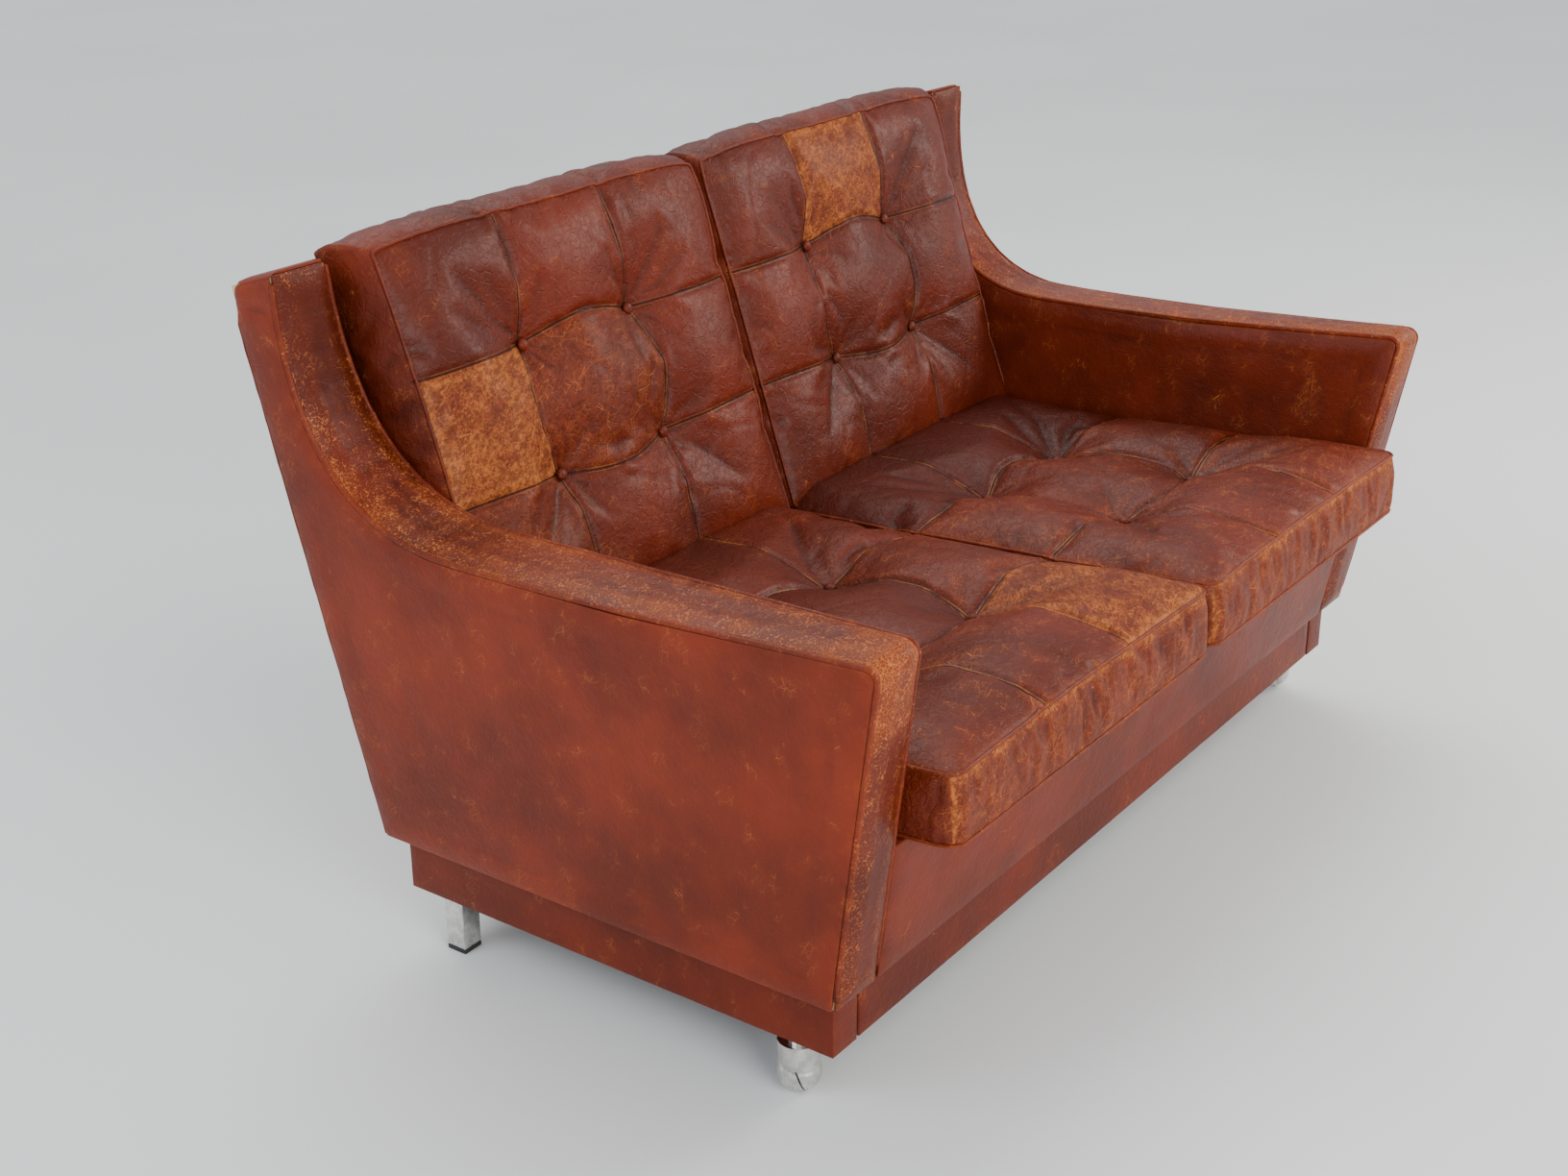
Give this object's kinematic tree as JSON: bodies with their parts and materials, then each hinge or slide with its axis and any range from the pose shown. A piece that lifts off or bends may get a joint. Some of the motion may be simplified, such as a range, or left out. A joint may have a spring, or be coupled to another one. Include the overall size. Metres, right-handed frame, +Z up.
{
  "type": "worn leather two-seat sofa",
  "caption": "Low leather sofa with splayed winged arms and loose buttoned seat and back cushions, on steel rear legs and front ball castors, worn and scuffed all over.",
  "frame": {"origin": "on the floor under the middle of the bounding box", "axes": "+Z up; -Y is the front, towards a sitting person's feet; +X runs along the sofa, to the right of someone facing it"},
  "size_m": [1.3914, 0.8616, 0.8385],
  "materials": {
    "leather": "worn red-brown leather, smooth with scratches and pale nicks",
    "worn_leather": "red-brown leather rubbed through to tan in a fine crackle",
    "seat_leather": "dark brown leather with tan streaks and worn seams",
    "back_leather": "creased red-brown leather with large rubbed tan patches",
    "piped_edges": "piped leather, rubbed lighter on its ridge",
    "plinth_leather": "dark red-brown leather with small nicks along the bottom edge",
    "foam": "yellowed upholstery foam",
    "chipboard": "bare chipboard",
    "beech": "bare beech",
    "webbing": "brown rubber webbing",
    "black_cloth": "thin black lining cloth",
    "chrome": "dulled chrome, pitted near the floor",
    "foot_plastic": "black plastic"
  },
  "bodies": {
    "sofa": {"arm_left_boxing": "worn_leather", "arm_left_inner_panel": "leather", "arm_left_inner_welt": "piped_edges", "arm_left_outer_panel": "leather", "arm_left_outer_welt": "piped_edges", "arm_left_padding": "foam", "arm_left_side_board": "chipboard", "arm_right_boxing": "worn_leather", "arm_right_inner_panel": "leather", "arm_right_inner_welt": "piped_edges", "arm_right_outer_panel": "leather", "arm_right_outer_welt": "piped_edges", "arm_right_padding": "foam", "arm_right_side_board": "chipboard", "back_board": "chipboard", "back_left_button_lower_inner": "back_leather", "back_left_button_lower_outer": "back_leather", "back_left_button_upper_inner": "back_leather", "back_left_button_upper_outer": "back_leather", "back_left_cushion": "back_leather", "back_lining": "black_cloth", "back_outer_panel": "leather", "back_right_button_lower_inner": "back_leather", "back_right_button_lower_outer": "back_leather", "back_right_button_upper_inner": "back_leather", "back_right_button_upper_outer": "back_leather", "back_right_cushion": "back_leather", "back_top_cover": "leather", "back_top_rail": "beech", "castor_left_sleeve": "chrome", "castor_right_sleeve": "chrome", "centre_rail": "beech", "dust_cover": "black_cloth", "foot_cap_left": "foot_plastic", "foot_cap_right": "foot_plastic", "front_rail": "beech", "front_rail_cover": "leather", "plinth_front": "plinth_leather", "plinth_left": "plinth_leather", "plinth_rear": "plinth_leather", "plinth_right": "plinth_leather", "rear_leg_left": "chrome", "rear_leg_right": "chrome", "rear_rail": "beech", "seat_left_button_front_inner": "seat_leather", "seat_left_button_front_outer": "seat_leather", "seat_left_button_rear_inner": "seat_leather", "seat_left_button_rear_outer": "seat_leather", "seat_left_cushion": "seat_leather", "seat_right_button_front_inner": "seat_leather", "seat_right_button_front_outer": "seat_leather", "seat_right_button_rear_inner": "seat_leather", "seat_right_button_rear_outer": "seat_leather", "seat_right_cushion": "seat_leather", "seat_webbing_left": "webbing", "seat_webbing_right": "webbing"},
    "castor_left_fork": {"castor_left_hood": "chrome"},
    "castor_left_roller": {"castor_left_wheel": "chrome"},
    "castor_right_fork": {"castor_right_hood": "chrome"},
    "castor_right_roller": {"castor_right_wheel": "chrome"}
  },
  "joints": [
    {"name": "castor_left_swivel", "type": "hinge", "parent": "sofa", "child": "castor_left_fork", "pos_m": [-0.60589, -0.26586, 0.07], "axis": [0, 0, 1], "continuous": true},
    {"name": "castor_left_roll", "type": "hinge", "parent": "castor_left_fork", "child": "castor_left_roller", "pos_m": [-0.61, -0.2602, 0.025], "axis": [0.5523, -0.7602, 0.342], "continuous": true},
    {"name": "castor_right_swivel", "type": "hinge", "parent": "sofa", "child": "castor_right_fork", "pos_m": [0.61411, -0.26586, 0.07], "axis": [0, 0, 1], "continuous": true},
    {"name": "castor_right_roll", "type": "hinge", "parent": "castor_right_fork", "child": "castor_right_roller", "pos_m": [0.61, -0.2602, 0.025], "axis": [0.5523, -0.7602, 0.342], "continuous": true}
  ]
}
